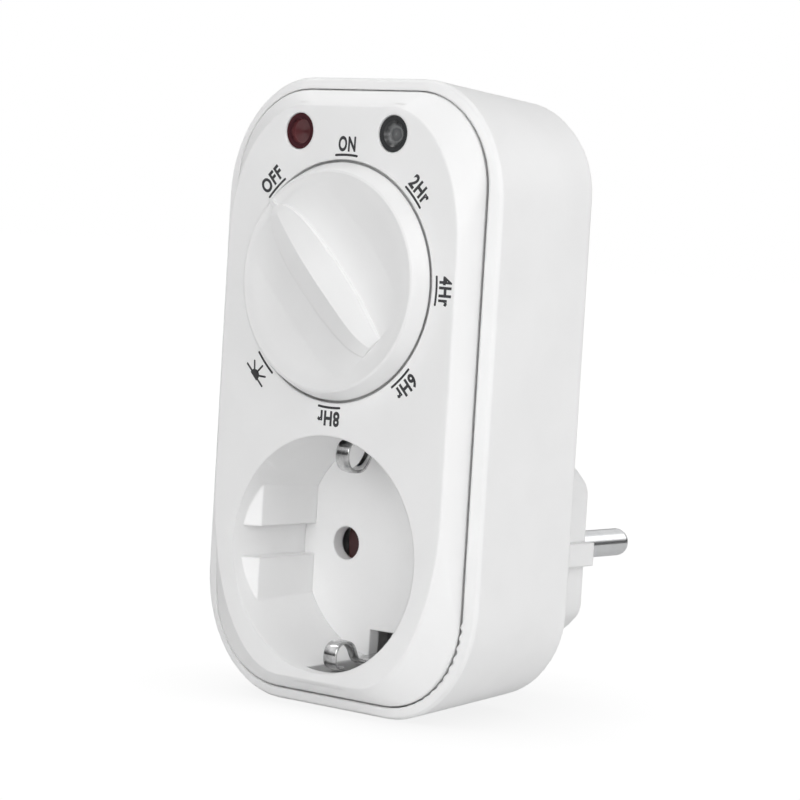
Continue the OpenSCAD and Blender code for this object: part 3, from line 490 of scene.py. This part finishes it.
# Middle line of each clip's spring, from the curled tip to the foot: millimetres behind the panel and from
# the axis. The upper clip's bow is sprung about 1.3 mm further in than the lower one's
LOWER_SPRING = [(6.1, 18.75), (5.2, 18.85), (4.45, 18.6), (3.95, 18.0), (3.8, 17.2), (3.82, 16.4),
                (4.05, 15.7), (4.55, 15.1), (5.3, 14.75), (6.2, 14.6), (7.1, 14.65), (7.95, 14.95),
                (8.65, 15.5), (9.15, 16.2), (9.6, 17.1), (10.2, 18.0), (11.0, 18.25), (12.0, 18.2)]
UPPER_SPRING = [(6.3, 18.25), (5.4, 18.3), (4.6, 17.95), (4.1, 17.15), (3.95, 16.1), (4.05, 15.2),
                (4.35, 14.5), (4.9, 13.9), (5.7, 13.5), (6.6, 13.32), (7.5, 13.38), (8.3, 13.65),
                (9.0, 14.1), (9.65, 14.75), (10.3, 15.65), (10.9, 16.75), (11.4, 17.75), (12.0, 18.2)]
# Half the strip's width at each of those places, in millimetres: widest round the bow, slim on the leg
SPRING_HALF = [1.2] * 2 + [1.32] * 9 + [1.2, 1.05, 0.92, 0.88, 0.9, 1.1, 1.3]
SPRING_T = 0.42 * MM
CROWN = 0.2 * MM
ROLLED_EDGE = 0.1 * MM
STRAP_START = 11.6  # millimetres behind the panel: nearer than this the springs stand for the solid's bows
NEAR = 0.01  # millimetres, for finding a point again


def sprung_clip(line, side, name):
    """The free spring of an earth clip, above (1) or below (-1) the axis: crowned strip drawn along its
    middle line."""
    (depth, up), half = line[0], SPRING_HALF[0]
    spring = edge_between(spot(-half, depth, side * up), spot(half, depth, side * up))
    with editing(spring):
        bpy.ops.mesh.subdivide(number_cuts=1)
        for i in range(1, len(line)):
            step = (Vector(line[i]) - Vector(line[i - 1])) * MM
            bpy.ops.mesh.extrude_region_move(TRANSFORM_OT_translate={"value": (0, step.x, side * step.y)})
            bpy.ops.transform.resize(value=(SPRING_HALF[i] / SPRING_HALF[i - 1], 1, 1),
                                     center_override=spot(0, line[i][0], side * line[i][1]))
    # The strip is crowned: its middle stands a little outside its edges, all the way round the bow
    for i, (depth, up) in enumerate(line):
        before, after = Vector(line[max(i - 1, 0)]), Vector(line[min(i + 1, len(line) - 1)])
        along = (after - before).normalized()
        for point in spring.data.vertices:
            place = Vector((behind_panel(point) / MM, side * point.co.z / MM))
            if abs(point.co.x) < NEAR * MM and (place - Vector((depth, up))).length < NEAR:
                point.co.y += along.y * CROWN
                point.co.z -= side * along.x * CROWN
    worked(spring, "SUBSURF", levels=2, render_levels=2, boundary_smooth="PRESERVE_CORNERS")
    worked(spring, "SOLIDIFY", thickness=SPRING_T, offset=0)
    worked(spring, "BEVEL", width=ROLLED_EDGE, segments=2, angle_limit=math.radians(45))
    faced_outward(spring)
    bpy.ops.object.shade_smooth_by_angle(angle=math.radians(40))
    spring.name = name
    return spring


dress(smooth_shell("plug_earth_strap", "case", "plug_clip_skin", 32), satin_strip)
# The socket strap keeps the solid's body; each end gets a spring of true gauge in place of its plain bow
socket_clip = smooth_shell("socket_earth_strap", "case", "socket_clip_skin", 32)
with editing(socket_clip):
    bpy.ops.mesh.bisect(plane_co=spot(0, STRAP_START, 0), plane_no=(0, 1, 0), use_fill=True,
                        clear_inner=True)
springs = [sprung_clip(LOWER_SPRING, -1, "lower_spring"), sprung_clip(UPPER_SPRING, 1, "upper_spring")]
pick_only(socket_clip)
for spring in springs:
    spring.select_set(True)
bpy.ops.object.join()
dress(socket_clip, clip_steel_stains_and_painted_reflection)


# ---------------------------------------------------------------- window cheeks

CHEEK_T = 0.8 * MM
# Where the first cheek's front edge lies, in millimetres: behind the panel, across, and up at its two ends
CHEEK_START = 18.6
CHEEK_ACROSS = -3.62
CHEEK_ENDS = (-19.8, -12.8)
CHEEK_FLARE = (-3.6 * MM, 8 * MM, 0)  # from its front edge to its back edge


def window_cheeks():
    """Cheeks moulded behind the floor, which guide each clip's foot into its window and flare away behind
    it. One is modelled, then mirrored across its window and then with its twin to the other window."""
    cheek = edge_between(*[spot(CHEEK_ACROSS, CHEEK_START, up) for up in CHEEK_ENDS])
    with editing(cheek):
        bpy.ops.mesh.extrude_region_move(TRANSFORM_OT_translate={"value": CHEEK_FLARE})
    worked(cheek, "SOLIDIFY", thickness=CHEEK_T, offset=0)
    for mirror_axis in ((True, False, False), (False, False, True)):
        with editing(cheek):
            bpy.ops.mesh.duplicate()
            bpy.ops.transform.mirror(constraint_axis=mirror_axis, center_override=(0, 0, 0))
    faced_outward(cheek)
    cheek.name = "window_cheeks"
    dress(cheek, shell_abs)
    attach(cheek, "case")


window_cheeks()


# ---------------------------------------------------------------- printed scale

# Each mark stands upright at the top of the dial, then turns to its place round it
INK_FRONT = PANEL_Y - 0.02 * MM
INK_T = 0.05 * MM
CAP = 2.5 * MM  # height of the capitals
BOLDER = 0.036  # thickens the font's strokes, as a share of its size
LETTER_SPACE = 1.12
WORD_R = 22.05 * MM
BAR_R = 20.3 * MM
BAR_LEN = 4.75 * MM
BAR_W = 0.38 * MM
RAY_W = 0.33 * MM
BAR_CORNER = 0.42  # rounding of a bar's corners, as a share of its width
# Each word, its place in degrees clockwise from the top and its width in millimetres
WORDS = [("OFF", -45, 4.85), ("ON", 0, 3.6), ("2Hr", 45, 4.65), ("4Hr", 90, 4.7), ("6Hr", 135, 4.65),
         ("8Hr", 180, 4.65)]
DUSK = 225
# The horizon's two halves and the rays of the dusk mark: millimetres along and out from the dial
DUSK_STROKES = [((-2.6, 23.36), (-0.9, 23.36)), ((0.9, 23.34), (2.6, 23.34)),
                ((-1.85, 21.72), (-0.55, 22.9)), ((0.0, 20.95), (0.0, 22.7)), ((0.55, 22.9), (1.88, 21.75))]
SUN_LEVEL = 23.4 * MM
SUN_R = 1.0 * MM
SUN_RIM = 0.35 * MM
# The stencil sits a little to the right and turned a little clockwise, as a hand-loaded print does
STENCIL_SHIFT = Vector((0.2 * MM, 0, 0))
STENCIL_TURN = 0.8
marks = []


def turned_to(obj, degrees):
    """Turns a mark that stands at the top of the dial to its place on the scale, clockwise, in its mesh."""
    turn = Matrix.Rotation(math.radians(degrees + STENCIL_TURN), 4, "Y")
    obj.data.transform(Matrix.Translation(DIAL + STENCIL_SHIFT) @ turn @ Matrix.Translation(-DIAL))
    dress(obj, ink)
    marks.append(obj)


def ink_depth(mark):
    """Gives a flat mark the thickness of the ink behind its front."""
    if mark.data.polygons[0].normal.y > 0:
        mark.data.flip_normals()
    worked(mark, "SOLIDIFY", thickness=INK_T, offset=-1)


def printed_word(word, degrees, width):
    """A word in narrow bold capitals, its feet towards the dial."""
    bpy.ops.object.select_all(action="DESELECT")
    bpy.ops.object.text_add(location=(0, 0, 0))
    text = bpy.context.object
    text.data.body = word
    text.data.size = 1.0
    text.data.offset = BOLDER
    text.data.space_character = LETTER_SPACE
    text.data.extrude = 0.01  # any depth does, because it is scaled to the ink's
    text.data.resolution_u = 4
    bpy.ops.object.convert(target="MESH")
    letters = bpy.context.object
    low, high = extent(letters)
    set_size = high - low
    size = Matrix.Diagonal((width * MM / set_size.x, CAP / set_size.y, INK_T / set_size.z, 1))
    stand = Matrix.Rotation(math.radians(90), 4, "X")
    top = Matrix.Translation((DIAL.x, INK_FRONT + INK_T / 2, DIAL.z + WORD_R))
    letters.data.transform(top @ stand @ size @ Matrix.Translation(-(low + high) / 2))
    letters.name = "mark_" + word
    turned_to(letters, degrees)


def bar_end(radius, width):
    """One end of a bar: a short edge across it at the top of the dial, ready to be drawn along."""
    low, high = radius - width / 2, radius + width / 2
    return edge_between((DIAL.x, INK_FRONT, DIAL.z + low), (DIAL.x, INK_FRONT, DIAL.z + high))


def inked(bar, width):
    """Rounds the four corners of a flat bar and gives the ink its thickness."""
    edges = bar.data.edges
    ends = [v.index for v in bar.data.vertices if sum(v.index in e.vertices for e in edges) == 2]
    for group in (bar.data.vertices, bar.data.edges, bar.data.polygons):
        for item in group:
            item.select = False
    for i in ends:
        bar.data.vertices[i].select = True
    bpy.ops.object.mode_set(mode="EDIT")
    bpy.ops.mesh.bevel(offset=width * BAR_CORNER, segments=4, affect="VERTICES")
    bpy.ops.object.mode_set(mode="OBJECT")
    faced_outward(bar)
    ink_depth(bar)


def curved_bar(degrees):
    """The bar under a mark, drawn round the dial."""
    bar = bar_end(BAR_R, BAR_W)
    with editing(bar):
        bpy.ops.mesh.spin(steps=10, angle=BAR_LEN / BAR_R, center=DIAL, axis=(0, 1, 0))
    inked(bar, BAR_W)
    middle = sum((v.co - DIAL for v in bar.data.vertices), Vector())
    turned_to(bar, degrees - math.degrees(math.atan2(middle.x, middle.z)))


def stroke(start, end):
    """A straight stroke of the dusk mark, between two places in millimetres along and out from the dial."""
    a, b = Vector(start) * MM, Vector(end) * MM
    bar = bar_end(0, RAY_W)
    with editing(bar):
        bpy.ops.mesh.extrude_region_move(TRANSFORM_OT_translate={"value": ((b - a).length, 0, 0)})
    inked(bar, RAY_W)
    lie = Matrix.Rotation(-math.atan2(b.y - a.y, b.x - a.x), 4, "Y")
    bar.data.transform(Matrix.Translation(DIAL + Vector((a.x, 0, a.y))) @ lie @ Matrix.Translation(-DIAL))
    turned_to(bar, DUSK)


def half_disc(level, radius, rim):
    """The sun of the dusk mark: a half disc whose flat edge lies outwards, on a thicker rim."""
    bpy.ops.object.select_all(action="DESELECT")
    bpy.ops.mesh.primitive_circle_add(vertices=40, radius=radius, fill_type="NGON", location=(0, 0, 0),
                                      rotation=(math.radians(90), 0, 0))
    disc = bpy.context.object
    bpy.ops.object.transform_apply(location=True, rotation=True, scale=True)
    with editing(disc):
        bpy.ops.mesh.bisect(plane_co=(0, 0, rim), plane_no=(0, 0, 1), use_fill=False, clear_outer=True)
    ink_depth(disc)
    disc.data.transform(Matrix.Translation((DIAL.x, INK_FRONT, DIAL.z + level)))
    turned_to(disc, DUSK)


for word, degrees, width in WORDS:
    printed_word(word, degrees, width)
    curved_bar(degrees)
curved_bar(DUSK)
half_disc(SUN_LEVEL, SUN_R, SUN_RIM)
for start, end in DUSK_STROKES:
    stroke(start, end)
pick_only(marks[0])
for mark in marks:
    mark.select_set(True)
bpy.ops.object.join()
scale_print = bpy.context.object
scale_print.name = "scale_print"
bpy.ops.object.transform_apply(location=True, rotation=True, scale=True)
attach(scale_print, "case")


# ---------------------------------------------------------------- stage and room

FLOOR_SIZE = 12
FLOOR_GAP = 0.1 * MM
FIBRE_MM = 10 / 9  # far coarser than paper's real fibre, so that it shows
SHADOW_REACH = 30 * MM

bpy.ops.object.select_all(action="DESELECT")
bpy.ops.mesh.primitive_plane_add(size=FLOOR_SIZE, location=(0, 0, cad_box[0].z - FLOOR_GAP))
floor = bpy.context.object
floor.name = "floor"
# Uncoated card: dull, with an even fibre
paper, tree = new_material("matt white paper")
fibre = add_node(tree, "TexNoise", Vector=add_node(tree, "TexCoord").outputs["Object"],
                 Scale=1 / (FIBRE_MM * MM), Detail=3.0)
paper_rough = add_node(tree, "MapRange", Value=fibre.outputs["Fac"], To_Min=0.8, To_Max=0.95)
paper_shader = add_node(tree, "BsdfPrincipled", Base_Color=srgb("#F4F4F4"), Roughness=paper_rough.outputs[0])
# An evenly lit sweep to the eye, with a soft shadow only where the object stands; all other light meets
# the paper itself, which returns the softboxes' light
corner_shade = add_node(tree, "AmbientOcclusion", {"samples": 12}, Distance=SHADOW_REACH)
glow = add_node(tree, "MapRange", Value=corner_shade.outputs["AO"], To_Min=0.86, To_Max=1.02)
lit = add_node(tree, "Emission", Color=(1, 1, 1, 1), Strength=glow.outputs[0])
sweep = add_node(tree, "MixShader", Fac=add_node(tree, "LightPath").outputs["Is Camera Ray"],
                 _1=paper_shader.outputs["BSDF"], _2=lit.outputs["Emission"])
add_node(tree, "OutputMaterial", Surface=sweep.outputs[0])
dress(floor, paper)

# The room round the set: bright above and below, dark at eye level. Only reflections show it, most of all
# in metal. The two heights are the upright part of a direction that is one long
ROOM = 0.8
EYE_LEVEL = 0.06
DARK_UP_TO = 0.06
BRIGHT_FROM = 0.42

world = bpy.data.worlds.new("studio")
bpy.context.scene.world = world
world.use_nodes = True
sky = world.node_tree
sky.nodes.clear()
direction = add_node(sky, "SeparateXYZ", Vector=add_node(sky, "TexCoord").outputs["Generated"])
slope = add_node(sky, "Math", {"operation": "ABSOLUTE"}, _0=direction.outputs["Z"])
room = add_node(sky, "MapRange", {"interpolation_type": "SMOOTHSTEP"}, Value=slope.outputs[0],
                From_Min=DARK_UP_TO, From_Max=BRIGHT_FROM, To_Min=EYE_LEVEL, To_Max=ROOM)
path = add_node(sky, "LightPath")
mirrored = add_node(sky, "MapRange", Value=path.outputs["Is Glossy Ray"], To_Min=0.0, To_Max=room.outputs[0])
shown = add_node(sky, "MapRange", Value=path.outputs["Is Camera Ray"], To_Min=mirrored.outputs[0], To_Max=1.0)
backdrop = add_node(sky, "Background", Color=(1, 1, 1, 1), Strength=shown.outputs[0])
add_node(sky, "OutputWorld", Surface=backdrop.outputs[0])


# ---------------------------------------------------------------- softboxes

CENTRE = Vector((0, -0.03, 0.025))
REACH = 1.0
SOFTBOX_W = 0.6
# Name, degrees round from the front (to the right) and up, watts, and whether the object mirrors it. The
# two at eye level behind the set are flagged off, so that metal mirrors only a soft dark band there
SOFTBOXES = [
    ("front_softbox", 30, 0, 3.5, True),
    ("front_high_softbox", 15, 30, 3.12, True),
    ("left_high_softbox", -90, 60, 2.92, True),
    ("right_softbox", 75, 30, 2.83, True),
    ("back_right_softbox", 120, 0, 2.54, False),
    ("left_softbox", -90, 0, 1.71, True),
    ("back_softbox", 150, 0, 1.29, False),
    ("back_high_softbox", 150, 30, 0.81, True),
    ("right_high_softbox", 75, 60, 0.64, True),
]
for name, round_deg, up_deg, power, mirrors in SOFTBOXES:
    lamp = bpy.data.lights.new(name, "AREA")
    lamp.shape = "SQUARE"
    lamp.size = SOFTBOX_W
    lamp.energy = power
    box = bpy.data.objects.new(name, lamp)
    bpy.context.scene.collection.objects.link(box)
    box.visible_glossy = mirrors
    round_to, up_to = math.radians(round_deg), math.radians(up_deg)
    box.location = CENTRE + REACH * Vector((math.sin(round_to) * math.cos(up_to),
                                            -math.cos(round_to) * math.cos(up_to), math.sin(up_to)))
    box.rotation_mode = "QUATERNION"
    box.rotation_quaternion = (CENTRE - box.location).to_track_quat("-Z", "Y")


# ---------------------------------------------------------------- camera

EYE = Vector((0.29936, -0.40284, 0.05270))
RIGHT = Vector((0.7722, 0.6325, 0.0596)).normalized()
AHEAD = Vector((-0.6299, 0.7745, -0.0585)).normalized()
UP = RIGHT.cross(AHEAD).normalized()
RIGHT = AHEAD.cross(UP).normalized()
camera_data = bpy.data.cameras.new("camera")
camera_data.lens = 129.17
camera_data.sensor_width = 36
camera_data.clip_start = 0.01
camera = bpy.data.objects.new("camera", camera_data)
bpy.context.scene.collection.objects.link(camera)
camera.matrix_world = Matrix.Translation(EYE) @ Matrix((RIGHT, UP, -AHEAD)).transposed().to_4x4()
bpy.context.scene.camera = camera
bpy.context.scene.view_settings.view_transform = "Standard"
